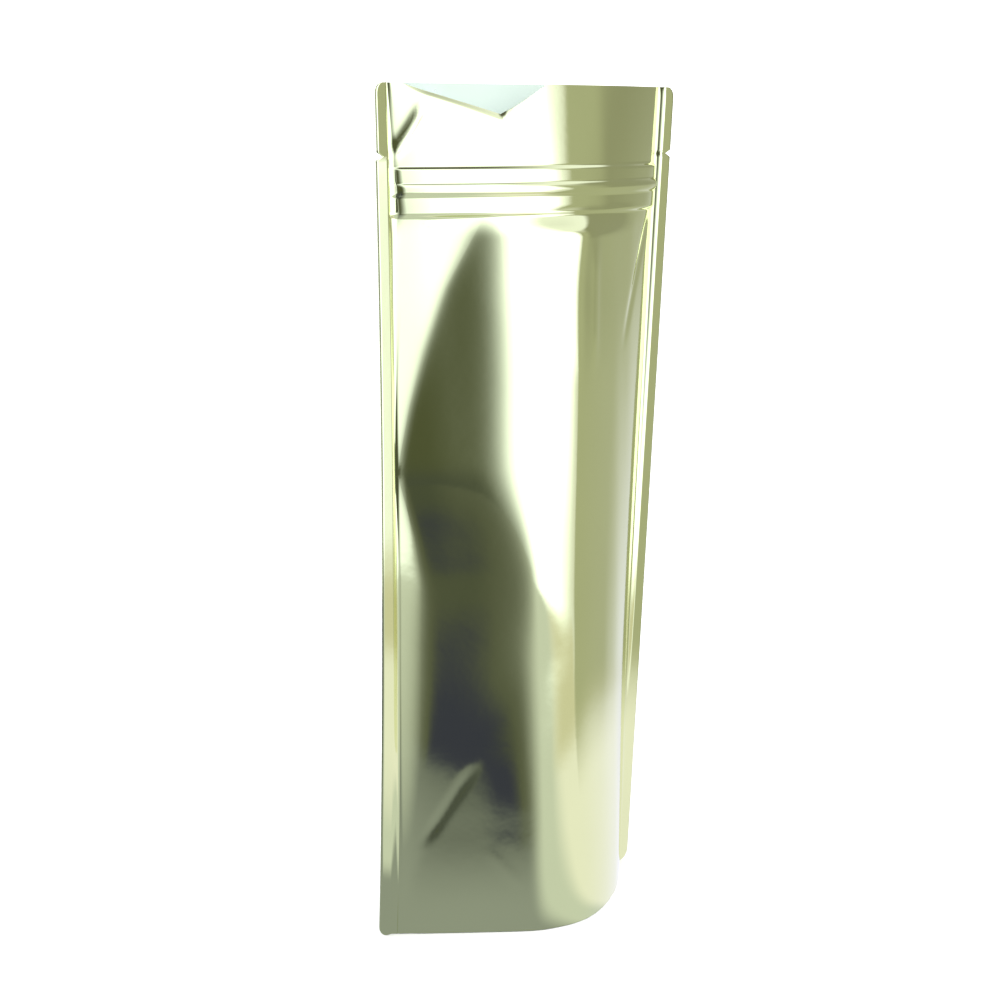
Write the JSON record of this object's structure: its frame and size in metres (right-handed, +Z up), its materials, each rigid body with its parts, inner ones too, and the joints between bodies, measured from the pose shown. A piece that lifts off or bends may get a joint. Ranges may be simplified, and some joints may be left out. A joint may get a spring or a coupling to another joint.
{
  "type": "stand-up pouch",
  "caption": "Empty stand-up pouch of pale gold foil with side seals, tear notches, a closed press-to-close zip under parted lips, a dented belly and an open round-bottom gusset.",
  "frame": {"origin": "middle of the pouch's box on the surface that it stands on", "axes": "+X along the width to the right as seen from the front, +Y from the front panel to the back panel, +Z up"},
  "size_m": [0.1266, 0.0652, 0.24],
  "materials": {
    "gold_foil": "mirror-like pale gold metallised film"
  },
  "bodies": {
    "root": {"pouch": "gold_foil"}
  },
  "joints": []
}
